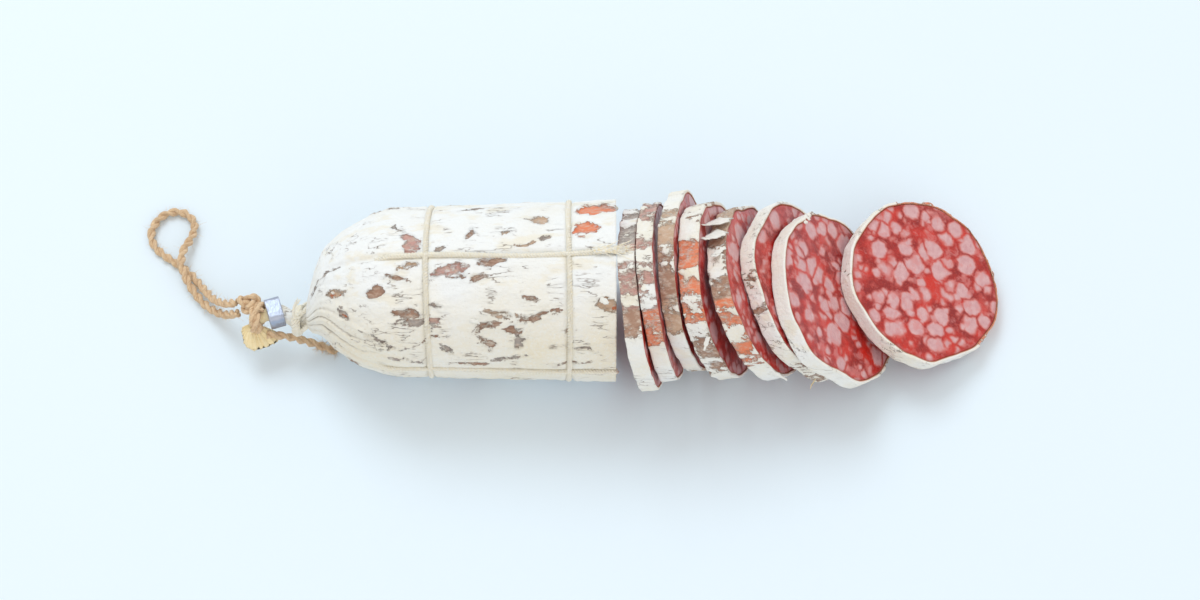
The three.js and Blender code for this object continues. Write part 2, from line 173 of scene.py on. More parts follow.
def noise(points, size, seed=0):
    """Smooth noise from -1 to 1 in blobs about that size. The size may differ by axis."""
    scaled = points / np.asarray(size, float)
    base = np.floor(scaled).astype(np.int64)
    part = scaled - base
    fade = part * part * (3 - 2 * part)
    total = np.zeros(points.shape[:-1])
    for corner in itertools.product((0, 1), repeat=3):
        at = base + np.array(corner)
        weight = np.prod(np.where(np.array(corner) == 1, fade, 1 - fade), axis=-1)
        total += weight * lattice(at[..., 0], at[..., 1], at[..., 2], seed)
    return 2 * total - 1


def rough(points, size, seed=0, octaves=3):
    """Noise with finer noise on top of it."""
    size = np.asarray(size, float)
    layers = [noise(points, size / 2**k, seed + 17 * k) / 2**k for k in range(octaves)]
    return sum(layers) / (2 - 2.0 ** (1 - octaves))


def smooth(value, low, high):
    share = np.clip((value - low) / (high - low), 0, 1)
    return share * share * (3 - 2 * share)


def mix(start, end, share):
    return start + (end - start) * share


# ---- The sausage's shape, as in the CAD source ----


def body_radius(x):
    along = np.minimum(-x / (BODY_LENGTH - ROUND_END), 1)
    into = np.clip((FILLING_END + ROUND_END - x) / ROUND_END, 0, 1)
    return DIAMETER / 2 * (1 - TAPER * along) * (1 - into**1.6) ** 0.57


def section(x):
    """Half sizes across and upwards, and the centre's Y and Z, of the casing at x."""
    past = FILLING_END - x
    side, up, across, high = [np.interp(past, GATHER[:, 0], GATHER[:, k]) for k in range(1, 5)]
    filled = body_radius(x)
    gathered = smooth(past, -ROUND_END / 3, 0)
    drop = smooth(past, -DIP_FROM, GATHER[0, 0])
    axis_height = body_radius(np.maximum(x, FILLING_END + ROUND_END)) - FLATTENING
    centre_y = mix(0, NECK_SIDE + side, drop)
    centre_z = mix(axis_height, NECK_HEIGHT + up, drop)
    return np.hypot(across * gathered, filled), np.hypot(high * gathered, filled), centre_y, centre_z


def unevenness(angle, x):
    wave = 0.011 * np.cos(2 * angle + 0.6 + x / 40) + 0.008 * np.cos(3 * angle + 2 - x / 40)
    return 1 + wave * smooth(x, FILLING_END, FILLING_END + ROUND_END)


def sunk(x):
    """How far the net has sunk in at x: fully on the straight part."""
    return smooth(x, FILLING_END + ROUND_END / 7, FILLING_END + ROUND_END / 2)


def turn_between(angle, place):
    """Degrees from a place round the sausage to an angle in radians, from -180 to 180."""
    return (np.degrees(angle) - place + 180) % 360 - 180


def string_distance(x, angle):
    from_hoop = np.min([np.abs(x + place) for place in HOOPS_FROM_CUT], axis=0)
    turns = [np.abs(turn_between(angle, place)) for place in LENGTHWISE_ANGLES]
    from_string = np.radians(np.min(turns, axis=0)) * body_radius(x)
    return np.minimum(from_hoop, from_string)


def skin_point(x, angle, inset=0.0, grooved=True):
    """A point on the casing at x, at an angle from the front over the top, so far inwards."""
    across, high, centre_y, centre_z = section(x)
    uneven = unevenness(angle, x)
    groove = GROOVE_DEPTH * sunk(x) * smooth(string_distance(x, angle), GROOVE_HALF_WIDTH, 0.3)
    depth = inset + (groove if grooved else 0)
    y = centre_y - (across * uneven - depth) * np.cos(angle)
    z = np.maximum(centre_z + high * uneven * np.sin(angle), 0) - depth * np.sin(angle)
    return np.stack(np.broadcast_arrays(x, y, np.maximum(z, 0)), axis=-1)


def skin_normal(x, angle):
    along = skin_point(x + 0.2, angle, grooved=False) - skin_point(x - 0.2, angle, grooved=False)
    around = skin_point(x, angle + 0.02, grooved=False) - skin_point(x, angle - 0.02, grooved=False)
    normal = np.cross(along, around)
    return normal / np.linalg.norm(normal, axis=-1, keepdims=True)


# ---- Meshes ----


def round_angles(count):
    """Even steps of one whole turn, in radians."""
    return 2 * np.pi * np.arange(count) / count


def ring_faces(rows, columns, start=0, looped=False):
    """Quads between neighbouring closed rings of points."""
    row = np.arange(rows if looped else rows - 1)[:, None]
    after_row = (row + 1) % rows
    column = np.arange(columns)[None, :]
    after = (column + 1) % columns
    corners = [row * columns + column, row * columns + after]
    corners += [after_row * columns + after, after_row * columns + column]
    return (start + np.stack(corners, axis=-1).reshape(-1, 4)).tolist()


def closed_tube(rings):
    """Points and faces of a solid lofted through rings, with a flat face at each end."""
    rows, columns = rings.shape[:2]
    first = list(range(columns))[::-1]
    last = [(rows - 1) * columns + k for k in range(columns)]
    return rings.reshape(-1, 3), [*ring_faces(rows, columns), first, last]


def joined(parts):
    """Points and faces of several meshes as one."""
    points, faces, start = [], [], 0
    for some_points, some_faces in parts:
        points.append(some_points)
        faces += [[start + k for k in face] for face in some_faces]
        start += len(some_points)
    return np.concatenate(points), faces


def above_table(points):
    """The points, pressed flat where they would reach into the table."""
    return np.column_stack([points[:, :2], np.maximum(points[:, 2], 0.02)])


def add_piece(name, points, faces, material, replaced=(), fields=None, placed=False):
    """A smooth-shaded mesh from points in model millimetres, riding on the row's one body. With
    placed, the points are in row millimetres already."""
    mesh = bpy.data.meshes.new(name)
    here = points if placed else points + ORIGIN
    mesh.from_pydata((here * MM).tolist(), [], faces)
    for field, values in (fields or {}).items():
        single = values.ndim == 1
        layer = mesh.attributes.new(field, "FLOAT" if single else "FLOAT_VECTOR", "POINT")
        layer.data.foreach_set("value" if single else "vector", values.astype(np.float32).ravel())
    shaped = bmesh.new()
    shaped.from_mesh(mesh)
    bmesh.ops.recalc_face_normals(shaped, faces=shaped.faces)
    shaped.to_mesh(mesh)
    shaped.free()
    mesh.shade_smooth()
    mesh.materials.append(material)
    piece = new_object(name, mesh)
    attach(piece, "root")
    if replaced:
        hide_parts(*replaced)
    return piece


# ---- Shaders ----


class Shader:
    """A node material with short names for the nodes that it uses."""

    def __init__(self, name):
        self.material = bpy.data.materials.new(name)
        self.material.use_nodes = True
        self.tree = self.material.node_tree
        self.surface = self.tree.nodes["Principled BSDF"]

    def feed(self, socket, value):
        if isinstance(value, bpy.types.NodeSocket):
            self.tree.links.new(value, socket)
        else:
            socket.default_value = value

    def node(self, kind, *values, **settings):
        made = self.tree.nodes.new("ShaderNode" + kind)
        for key, value in settings.items():
            setattr(made, key, value)
        for socket, value in zip(made.inputs, values):
            self.feed(socket, value)
        return made

    def math(self, operation, *values):
        return self.node("Math", *values, operation=operation).outputs[0]

    def times(self, *values):
        return self.math("MULTIPLY", *values)

    def plus(self, *values):
        return self.math("ADD", *values)

    def minus(self, *values):
        return self.math("SUBTRACT", *values)

    def vector(self, operation, *values):
        return self.node("VectorMath", *values, operation=operation).outputs[0]

    def stretched(self, vector, by):
        return self.vector("MULTIPLY", vector, by)

    def scaled(self, vector, by):
        made = self.node("VectorMath", vector, operation="SCALE")
        made.inputs["Scale"].default_value = by
        return made.outputs[0]

    def place(self):
        """Where the surface is, in millimetres."""
        return self.scaled(self.node("TexCoord").outputs["Object"], 1 / MM)

    def field(self, name, vector=False):
        made = self.node("Attribute", attribute_name=name)
        return made.outputs["Vector" if vector else "Fac"]

    def noise(self, place, size, detail=2.0, roughness=0.5, colour=False):
        made = self.node("TexNoise")
        self.feed(made.inputs["Vector"], place)
        self.feed(made.inputs["Scale"], 1 / size)
        self.feed(made.inputs["Detail"], detail)
        self.feed(made.inputs["Roughness"], roughness)
        return made.outputs["Color" if colour else "Fac"]

    def cells(self, place, size, feature="F1", output="Color"):
        made = self.node("TexVoronoi", feature=feature)
        self.feed(made.inputs["Vector"], place)
        self.feed(made.inputs["Scale"], 1 / size)
        return made.outputs[output]

    def fade(self, value, low, high):
        """0 at low and 1 at high, eased between them. low may be the larger."""
        made = self.node("MapRange", value, low, high, interpolation_type="SMOOTHSTEP")
        return made.outputs[0]

    def blend(self, share, first, second):
        """A colour between two, by share."""
        made = self.node("Mix", data_type="RGBA")
        self.feed(made.inputs[0], share)
        for socket, colour in ((made.inputs[6], first), (made.inputs[7], second)):
            is_link = isinstance(colour, bpy.types.NodeSocket)
            self.feed(socket, colour if is_link else rgba(colour))
        return made.outputs[2]

    def bump(self, height, depth, strength=1.0):
        """Raises the surface by up to depth millimetres where height is 1."""
        made = self.node("Bump")
        self.feed(made.inputs["Strength"], strength)
        self.feed(made.inputs["Distance"], depth * MM)
        self.feed(made.inputs["Height"], height)
        self.feed(self.surface.inputs["Normal"], made.outputs[0])

    def set(self, **values):
        for key, value in values.items():
            self.feed(self.surface.inputs[key.replace("_", " ")], value)


def peeled_share(shader, place, fine, medium):
    """How bare of crust the casing is, and painted shadow under the crust's lip at a patch's edge, both
    0 to 1.
    """
    edge_noise = shader.plus(shader.times(fine, 0.9), shader.times(medium, 3.0))
    noise_middle = 1.95
    ragged = shader.minus(shader.plus(shader.field("bare"), edge_noise), noise_middle)
    dusted = shader.noise(shader.stretched(place, (0.5, 1, 1)), 0.8, 4, 0.75)
    dusted = shader.fade(dusted, 0.46, 0.6)
    powdery = shader.fade(shader.noise(place, 5, 2), 0.42, 0.58)
    dusted = shader.times(dusted, shader.times(powdery, 0.6))
    bare = shader.times(shader.fade(ragged, -0.1, 0.16), shader.minus(1.0, dusted))
    # lip is a band just inside each patch's edge, used only for painted shadow under the crust's broken
    # lip.
    lip = shader.times(shader.fade(ragged, -0.1, 0.05), shader.fade(ragged, 0.55, 0.1))
    return bare, lip


def crack_share(shader, place):
    """Fine cracks along the sausage, in some places only."""
    creases = shader.noise(shader.stretched(place, (0.16, 1, 1)), 1.9, 3, 0.55)
    off_line = shader.math("ABSOLUTE", shader.minus(creases, 0.5))
    line = shader.fade(off_line, 0.018, 0.0)
    where = shader.fade(shader.noise(place, 6.5, 2), 0.52, 0.64)
    return shader.times(shader.times(line, where), 0.85)


def crust_colour(shader, stretched, specks, crack):
    """White mould, creamy in places, with cracks, flecks and shaded folds."""
    blotches = shader.fade(shader.noise(stretched, 5, 4, 0.6), 0.48, 0.68)
    blotches = shader.times(blotches, 0.5)
    # cream is the crust's real cream tone, and on the casing also painted shade towards the underside.
    cream = shader.times(shader.field("cream"), shader.fade(specks, 0.05, 0.6))
    crust = shader.blend(shader.math("MAXIMUM", cream, blotches), MOULD_WHITE, MOULD_CREAM)
    crust = shader.blend(crack, crust, CRACK)
    fleck = shader.fade(shader.noise(stretched, 1.0, 4, 0.75), 0.63, 0.72)
    crust = shader.blend(shader.times(fleck, 0.45), crust, FLECK)
    # Painted shade: the crust is darkened by the depth of the pleats.
    return shader.blend(shader.times(shader.field("fold"), 0.85), crust, FOLD_SHADE)


def bared_colour(shader, stretched, lip):
    """The casing's own colour, blotched, with painted shadow in a band where the crust broke off."""
    blotch = shader.fade(shader.noise(stretched, 1.1, 4, 0.65), 0.35, 0.7)
    under = shader.blend(blotch, shader.field("tint", vector=True), linear(214, 194, 176))
    under = shader.blend(shader.times(blotch, 0.8), shader.field("tint", vector=True), under)
    # Painted shadow: the lip band is darkened to brown, as the crust's broken edge would shade it.
    return shader.blend(shader.times(lip, 0.4), under, linear(112, 84, 68))


def mould_material():
    """Casing under a dry crust of white mould. The field bare says, in millimetres, how far inside
    a peeled patch a point is, tint is the colour under the crust, cream how yellow the crust is,
    which on the casing is partly painted shade towards the underside, inset how far under the
    crust's surface a point of a cut edge is, fold how deep in a fold it is, for painted shade in
    the pleats, and tuft marks bare casing."""
    shader = Shader("mould_on_casing")
    place = shader.place()
    stretched = shader.stretched(place, (0.45, 1, 1))
    fine = shader.noise(place, 0.5, 3, 0.6)
    medium = shader.noise(stretched, 1.6, 4, 0.6)
    # lip carries painted shadow along the peeled patches' edges.
    bare, lip = peeled_share(shader, place, fine, medium)
    crack = crack_share(shader, place)
    specks = shader.noise(place, 0.9, 4, 0.7)
    crust = crust_colour(shader, stretched, specks, crack)
    colour = shader.blend(bare, crust, bared_colour(shader, stretched, lip))
    colour = shader.blend(shader.fade(shader.field("inset"), 0.35, 0.7), colour, CUT_CASING)
    honey = shader.blend(shader.noise(place, 1.2, 3), HONEY, linear(250, 236, 196))
    colour = shader.blend(shader.field("tuft"), colour, honey)

    height = shader.times(shader.minus(1.0, bare), 0.5)
    for layer, share in ((fine, 0.22), (specks, 0.4), (medium, 0.8), (crack, -0.35)):
        height = shader.plus(height, shader.times(layer, share))
    shader.bump(height, 0.6, 0.95)
    worn = shader.plus(shader.times(bare, -0.28), 0.9)
    shader.set(Base_Color=colour, Roughness=worn, Sheen_Weight=0.12, Sheen_Roughness=0.6)
    return shader.material


# Lumps of fat: the size of their cells in millimetres, and the share of cells that stay lean.
FAT_CELLS = ((6.0, 0.18), (3.3, 0.3))
FAT_GAP = 0.05


def fat_lumps(shader, warped):
    """How much a point is in a lump of fat, with a soft edge, and how near the lump's middle."""
    fats, middles = [], []
    for size, lean_share in FAT_CELLS:
        draws = shader.node("SeparateColor", shader.cells(warped, size)).outputs
        reach = shader.plus(shader.times(draws[1], 0.3), 0.38)
        off_middle = shader.cells(warped, size, "F1", "Distance")
        inside = shader.times(shader.minus(reach, off_middle), size)
        edge = shader.cells(warped, size, "DISTANCE_TO_EDGE", "Distance")
        edge = shader.minus(shader.times(edge, size), FAT_GAP)
        depth = shader.math("SMOOTH_MIN", inside, edge, 1.3)
        chosen = shader.fade(draws[0], lean_share, lean_share + 0.01)
        fats.append(shader.times(chosen, shader.fade(depth, -0.3, 0.5)))
        middles.append(shader.times(chosen, shader.fade(depth, 0.05, 0.9)))
    return shader.math("MAXIMUM", *fats), shader.math("MAXIMUM", *middles)


def lean_colour(shader, place, grain):
    broad = shader.fade(shader.noise(place, 7, 3, 0.55), 0.35, 0.68)
    lean = shader.blend(broad, linear(142, 12, 13), linear(204, 38, 24))
    grainy = shader.times(shader.fade(grain, 0.5, 0.75), 0.45)
    lean = shader.blend(grainy, lean, linear(212, 78, 58))
    haze = shader.fade(shader.noise(place, 4.5, 4, 0.65), 0.5, 0.68)
    return shader.blend(shader.times(haze, 0.6), lean, linear(204, 82, 76))


def fat_colour(shader, place, middles):
    tone = shader.noise(place, 1.6, 3)
    tone = shader.blend(tone, linear(194, 136, 142), linear(228, 188, 188))
    fat = shader.blend(middles, linear(206, 104, 96), tone)
    streaks = shader.noise(shader.stretched(place, (1, 0.25, 1)), 0.7, 3, 0.6)
    streaks = shader.times(shader.fade(streaks, 0.5, 0.75), 0.35)
    return shader.blend(streaks, fat, linear(190, 118, 124))


def meat_material():
    """Lean and fat, laid out in three dimensions, so that neighbouring slices match. The field
    meat_place is where a point was before slicing, and to_rind its distance from the rind."""
    shader = Shader("cured_meat")
    place = shader.field("meat_place", vector=True)
    shift = shader.noise(place, 3.4, 2, colour=True)
    shift = shader.vector("SUBTRACT", shift, (0.5, 0.5, 0.5))
    warped = shader.vector("ADD", place, shader.scaled(shift, 2.4))
    fat, middles = fat_lumps(shader, warped)
    grain = shader.noise(place, 0.55, 3, 0.6)
    lean = lean_colour(shader, place, grain)
    colour = shader.blend(fat, lean, fat_colour(shader, place, middles))
    smeared = shader.fade(shader.noise(warped, 3.4, 4, 0.6), 0.52, 0.66)
    colour = shader.blend(shader.times(smeared, 0.55), colour, linear(214, 132, 130))
    near_rind = shader.fade(shader.field("to_rind"), 1.3, 0.1)
    colour = shader.blend(shader.times(near_rind, 0.45), colour, linear(168, 36, 22))

    height = shader.plus(shader.times(fat, 0.35), shader.times(grain, 0.5))
    height = shader.plus(height, shader.times(shader.noise(place, 2.2, 3), 0.6))
    shader.bump(height, 0.35, 0.7)
    gloss = shader.plus(shader.times(grain, 0.25), 0.2)
    shader.set(Base_Color=colour, Roughness=gloss, Coat_Weight=0.25, Coat_Roughness=0.22)
    return shader.material


def fibre_material(name, dark, light, tint_share, roughness=0.85):
    """Spun fibre. The field strand lays the streaks out along the strand."""
    shader = Shader(name)
    place = shader.place()
    strand = shader.field("strand", vector=True)
    streaks = shader.noise(strand, 0.45, 3, 0.65)
    patches = shader.noise(place, 2.4, 3, 0.6)
    colour = shader.blend(shader.fade(streaks, 0.3, 0.66), dark, light)
    patches = shader.times(shader.fade(patches, 0.45, 0.7), tint_share)
    colour = shader.blend(patches, colour, dark)
    shader.bump(streaks, 0.22, 0.9)
    shader.set(Base_Color=colour, Roughness=roughness, Sheen_Weight=0.2, Sheen_Roughness=0.5)
    return shader.material


def aluminium_material():
    shader = Shader("clip_aluminium")
    place = shader.place()
    drawn = shader.noise(shader.stretched(place, (6, 0.5, 0.5)), 1.1, 3, 0.6)
    tarnish = shader.noise(place, 1.8, 4, 0.6)
    colour = shader.blend(tarnish, linear(150, 158, 180), linear(204, 211, 226))
    shader.bump(shader.plus(drawn, shader.times(tarnish, 2.0)), 0.16, 0.8)
    roughness = shader.plus(shader.times(tarnish, 0.25), 0.22)
    shader.set(Base_Color=colour, Roughness=roughness, Metallic=1.0)
    return shader.material


def mould_fields(count, tuft=0.0, **given):
    """The mould material's fields for that many points: those given, and plain crust's others."""
    plain = np.ones(count)
    fields = {"bare": -2 * plain, "tint": np.tile(TAN, (count, 1)), "cream": 0.3 * plain}
    fields.update(tuft=tuft * plain, inset=0 * plain, fold=0 * plain)
    for field, values in given.items():
        fields[field] = values.reshape(fields[field].shape)
    return fields


MOULD = mould_material()
MEAT = meat_material()
JUTE = fibre_material("jute_twine", linear(188, 146, 106), linear(250, 224, 186), 0.3)
STRING = fibre_material("net_string", linear(252, 240, 206), linear(255, 255, 252), 0.12)
ALUMINIUM = aluminium_material()

# ---- Spun string and twine ----


def resampled(points, step, *others):
    """Points at even steps along a line, with the other rows of values carried along."""
    lengths = np.concatenate([[0], np.cumsum(np.linalg.norm(np.diff(points, axis=0), axis=1))])
    count = max(4, int(round(lengths[-1] / step)) + 1)
    at = np.linspace(0, lengths[-1], count)
    rows = []
    for row in (points, *others):
        rows.append(np.stack([np.interp(at, lengths, row[:, k]) for k in range(3)], -1))
    return at, *rows


def curve_through(points, steps=24):
    """A smooth line through points: a centripetal Catmull-Rom spline."""
    points = np.asarray(points, float)
    ends = [2 * points[0] - points[1], *points, 2 * points[-1] - points[-2]]
    line = []
    for a, b, c, d in zip(ends, ends[1:], ends[2:], ends[3:]):
        knots = np.cumsum([0, *[np.linalg.norm(q - p) ** 0.5 for p, q in ((a, b), (b, c), (c, d))]])
        for t in np.linspace(knots[1], knots[2], steps, endpoint=False):
            first = mix(a, b, (t - knots[0]) / (knots[1] - knots[0]))
            second = mix(b, c, (t - knots[1]) / (knots[2] - knots[1]))
            third = mix(c, d, (t - knots[2]) / (knots[3] - knots[2]))
            left = mix(first, second, (t - knots[0]) / (knots[2] - knots[0]))
            right = mix(second, third, (t - knots[1]) / (knots[3] - knots[1]))
            line.append(mix(left, right, (t - knots[1]) / (knots[2] - knots[1])))
    return np.array([*line, points[-1]])


def directions(points, closed=False):
    if closed:
        along = np.roll(points, -1, axis=0) - np.roll(points, 1, axis=0)
    else:
        along = np.gradient(points, axis=0)
    return along / np.linalg.norm(along, axis=1, keepdims=True)


def steady_frames(points):
    """Two directions across a line at each point, turning as little as possible."""
    along = directions(points)
    across = np.cross(along[0], (0, 0, 1))
    if np.linalg.norm(across) < 0.2:
        across = np.cross(along[0], (0, 1, 0))
    rows = []
    for direction in along:
        across = across - direction * np.dot(across, direction)
        across = across / np.linalg.norm(across)
        rows.append(across)
    first = np.array(rows)
    return first, np.cross(along, first)


def directions_round(first, second, angle):
    """Directions at each angle round a line, from two directions across it at each point."""
    return first[:, None] * np.cos(angle)[:, None] + second[:, None] * np.sin(angle)[:, None]


def spun(points, plies, ply_radius, offset, pitch, sides=7, first=None, seed=0, fuzz=0.08, ends=None):
    """Plies twisted round each other along a line. It returns the points, faces and the strand
    field: a quarter of the millimetres along, and place round and among the plies. ends spreads
    the plies near a frayed far end."""
    if first is None:
        first, second = steady_frames(points)
    else:
        second = np.cross(directions(points), first)
        second /= np.linalg.norm(second, axis=1, keepdims=True)
    steps = np.linalg.norm(np.diff(points, axis=0), axis=1)
    along = np.concatenate([[0], np.cumsum(steps)])
    spread, taper = np.full(along.shape, float(offset)), np.ones(along.shape)
    if ends is not None:
        spread *= 1 + ends * smooth(along, along[-1] - 2.5, along[-1])
        taper -= 0.5 * smooth(along, along[-1] - 1.2, along[-1])
    angle = round_angles(sides)
    ring = directions_round(first, second, angle)
    parts, strands = [], []
    for ply in range(plies):
        turn = 2 * np.pi * (along / pitch + ply / plies)
        out = first * np.cos(turn)[:, None] + second * np.sin(turn)[:, None]
        middle = points + out * spread[:, None]
        middle = middle + 0.5 * fuzz * rough(middle, 2.0, seed + ply)[:, None] * out
        grain = rough(middle[:, None] + ring * 0.4, 0.8, seed + 5 + ply, 2)
        radius = ply_radius * (1 + fuzz * grain) * taper[:, None]
        parts.append(closed_tube(middle[:, None] + ring * radius[..., None]))
        lay = angle[None, :] * ply_radius - 2.2 * turn[:, None] * ply_radius
        strand = np.broadcast_arrays(along[:, None] * 0.25, lay * 2.4, ply * 9.0 + 0 * lay)
        strands.append(np.stack(strand, -1).reshape(-1, 3))
    made_points, faces = joined(parts)
    return made_points, faces, np.concatenate(strands)


def hair(middle, width, thinning, sides):
    """A thin tapering tube along a short line."""
    ring = directions_round(*steady_frames(middle), round_angles(sides))
    widths = width * (1 - thinning * np.linspace(0, 1, len(middle)))
    return closed_tube(middle[:, None] + ring * widths[:, None, None])


def add_spun(name, parts, material, replaced=()):
    """One piece from several spun lines."""
    points, faces = joined([(above_table(made[0]), made[1]) for made in parts])
    fields = {"strand": np.concatenate([made[2] for made in parts])}
    return add_piece(name, points, faces, material, replaced, fields)


def add_hairs(name, hairs, material):
    points, faces = joined(hairs)
    return add_piece(name, points, faces, material, fields={"strand": points * 0.6})


def add_fibres(name, line, count, reach, width, material, seed):
    """Loose fibres that stand out from a spun line, each a thin bent tapering hair."""
    random = np.random.default_rng(seed)
    across, up = steady_frames(line)
    along = directions(line)
    hairs = []
    for _ in range(count):
        at = random.integers(1, len(line) - 1)
        angle = random.uniform(0, 2 * np.pi)
        out = across[at] * math.cos(angle) + up[at] * math.sin(angle)
        lean = along[at] * random.uniform(-1.2, 1.2)
        length = random.uniform(0.35, 1) * reach
        bend = random.normal(0, 0.35, 3)
        share = np.linspace(0, 1, 6)[:, None]
        middle = line[at] + out * 0.9 + (out + lean) * share * length * 0.7 + bend * share**2 * length
        middle[:, 2] = np.maximum(middle[:, 2], 0.1)
        hairs.append(hair(middle, width, 0.7, 3))
    return add_hairs(name, hairs, material)


# ---- The twine: its loop and tail, the knot and the wraps ----

KNOT_AWAY = 2 + 0.3 + TWINE
KNOT_X = FILLING_END - TWINE_AT - 1.1 * TWINE
LOOP_FROM = KNOT_X - TWINE * 0.95 * KNOT_STRETCH
TAIL_FROM = FILLING_END - TWINE_AT + (WRAP_SPACING + TWINE) / 2
# Points of the loop: x from the knot's far end, y and height as it lies on the table.
LOOP_POINTS = [
    (-0.4, 1.6, 14.2), (-4.3, 3.2, 10.2), (-8.3, 6.6, 6.4), (-12.5, 12.2, 3), (-16.5, 17.2, 1.3),
    (-20.9, 21, 1.3), (-25.3, 24.2, 1.3), (-28.3, 27.3, 1.3), (-29.5, 31.1, 1.3),
    (-28.3, 35.4, 1.3), (-25.7, 38, 1.3), (-22.7, 38.8, 1.3), (-19.7, 38, 1.3), (-17.5, 35.8, 1.4),
    (-16.8, 32.8, 1.6), (-17.6, 28.8, 2.3), (-19.1, 24.6, 3.4), (-19.1, 19.2, 4.1),
    (-16.7, 13.6, 2.9), (-12.7, 8.2, 2.3), (-8.1, 3.8, 4.2), (-3.9, 0.8, 7.8), (-0.1, -1, 12.4),
]
# Points of the tail: x from the near side of the wraps.
TAIL_POINTS = [
    (0.3, -6.8, 10.3), (3.8, -6.6, 9.2), (8.3, -6.2, 6.6), (12.8, -6.2, 3.4), (16.8, -6.8, 1.6),
    (19.8, -7.4, 1.3),
]


def twine(line, **settings):
    return spun(line, 2, 0.7, 0.58, 6.6, sides=12, fuzz=0.26, **settings)


def twine_line(points, start, step=0.3):
    """The line through points whose x is measured from start, at even steps."""
    return resampled(curve_through([(start + x, y, z) for x, y, z in points]), step)[1]


def neck_helix(past_from, past_to, turns, clearance, start_angle=0.0):
    """A line wound round the gathered neck, and the directions away from the neck."""
    angle = start_angle + np.linspace(0, 2 * np.pi * turns, int(60 * turns))
    past = np.linspace(past_from, past_to, len(angle))
    across, _, centre_y, centre_z = section(FILLING_END - past)
    away = np.stack([0 * angle, -np.cos(angle), np.sin(angle)], -1)
    centre = np.stack([FILLING_END - past, centre_y, centre_z], -1)
    return centre + away * (across + clearance)[:, None], away


def knot_line():
    """A trefoil, which from outside looks like a pulled-tight overhand knot."""
    t = np.linspace(0, 2 * np.pi, 160)
    x, y, z = np.sin(t) + 2 * np.sin(2 * t), np.cos(t) - 2 * np.cos(2 * t), -np.sin(3 * t)
    _, _, centre_y, centre_z = section(np.array(FILLING_END - TWINE_AT))
    centre = np.array([KNOT_X, centre_y + KNOT_AWAY * 0.8, centre_z + KNOT_AWAY * 0.45])
    return centre + np.stack([x * 0.85, y * 0.72, z * 1.0], -1)


def add_twine():
    loop_line = twine_line(LOOP_POINTS, LOOP_FROM)
    tail_line = twine_line(TAIL_POINTS, TAIL_FROM)
    loop = add_spun("loop_twine", [twine(loop_line, seed=3)], JUTE, ["hanging_loop"])
    tail = add_spun("tail_twine", [twine(tail_line, seed=9, ends=0.9)], JUTE, ["twine_tail"])
    wraps, _ = neck_helix(TWINE_AT - 1.1, TWINE_AT + 1.2, 2.3, 1.4, math.pi / 2)
    lines = [resampled(line, 0.3)[1] for line in (wraps, knot_line())]
    knotted = [twine(line, seed=21 + number) for number, line in enumerate(lines)]
    add_spun("knot_twine", knotted, JUTE, ["twine_knot"])
    loop_fibres = add_fibres("loop_fibres", loop_line, 300, 2.2, 0.045, JUTE, 5)
    tail_fibres = add_fibres("tail_fibres", tail_line[-22:], 150, 2.2, 0.06, JUTE, 6)
    add_fibres("knot_fibres", wraps[::6], 90, 2.2, 0.05, JUTE, 7)


add_twine()


# ---- The casing ----

# Where the crust has peeled off: x, angle round the sausage, half length, half height, slant in
# degrees and the colour that shows. These follow the photograph's side.
PEELED = [
    (-56.5, 95, 2.2, 4.2, 20, PINK), (-60.5, 111, 1, 1.2, 0, GREY), (-40.5, 103, 0.9, 2.2, -25, BROWN),
    (-21.5, 115, 3, 1.8, 5, TAN), (-5.5, 126, 5.5, 3, 8, ORANGE), (-8.5, 105, 3.2, 2.6, 15, ORANGE),
    (-77, 60, 2.4, 1.3, 10, TAN), (-66, 62, 1.9, 1.5, 20, BROWN), (-60.5, 72, 2.8, 0.7, -12, BROWN),
    (-57, 80, 2.6, 0.9, 8, TAN), (-46, 77, 5.2, 1.5, 14, PINK), (-43.5, 73, 2.2, 0.7, 12, BROWN),
    (-38, 70.5, 2.6, 0.8, 22, BROWN), (-33.5, 82, 4.2, 0.9, 6, BROWN), (-23.5, 56, 2.4, 0.5, -12, BROWN),
    (-22, 45.5, 6.4, 0.7, 12, BROWN), (-31, 47, 3.8, 0.9, -10, TAN), (-36.5, 38, 3.4, 0.7, 25, BROWN),
    (-36, 26, 3, 1.2, -45, BROWN), (-57, 46, 4.6, 1.5, -10, BROWN), (-54.5, 40, 4.6, 0.7, -6, GREY),
    (-75, 42, 2.2, 1.1, -30, GREY), (-62, 22, 2.6, 0.4, 2, GREY), (-46, 20, 3.4, 0.7, -30, GREY),
    (-30, 13, 5.4, 0.5, 4, GREY), (-27, 28, 1.4, 2.2, 10, GREY), (-2.5, 52, 2.2, 2.6, 40, TAN),
    (-19, 98, 1.6, 1.1, 20, GREY), (-41, 133, 6, 0.5, 3, GREY), (-84, 76, 1.2, 0.4, 30, GREY),
    (-79, 84, 2, 0.4, 12, GREY), (-66, 28, 4, 0.6, -18, GREY), (-49, 52, 1.8, 0.7, 8, GREY),
    (-12, 36, 1.4, 0.5, 0, TAN), (-28, 36, 3.4, 0.6, -12, BROWN),
    (-51, 30, 2.4, 0.6, 30, BROWN), (-17, 66, 1.2, 0.5, 10, GREY),
    (-25, 92, 2.6, 0.7, 8, TAN), (-48, 92, 1.4, 0.6, 40, GREY),
    (-9, 22, 3, 0.5, -6, GREY), (-40, 8, 4, 0.5, 4, BROWN), (-58, 10, 3, 0.4, -8, GREY),
    (-13, 8, 3.4, 0.5, 5, BROWN), (-50.5, 44, 2.4, 0.8, -14, PINK), (-30.5, 104, 2, 0.6, 25, TAN),
]


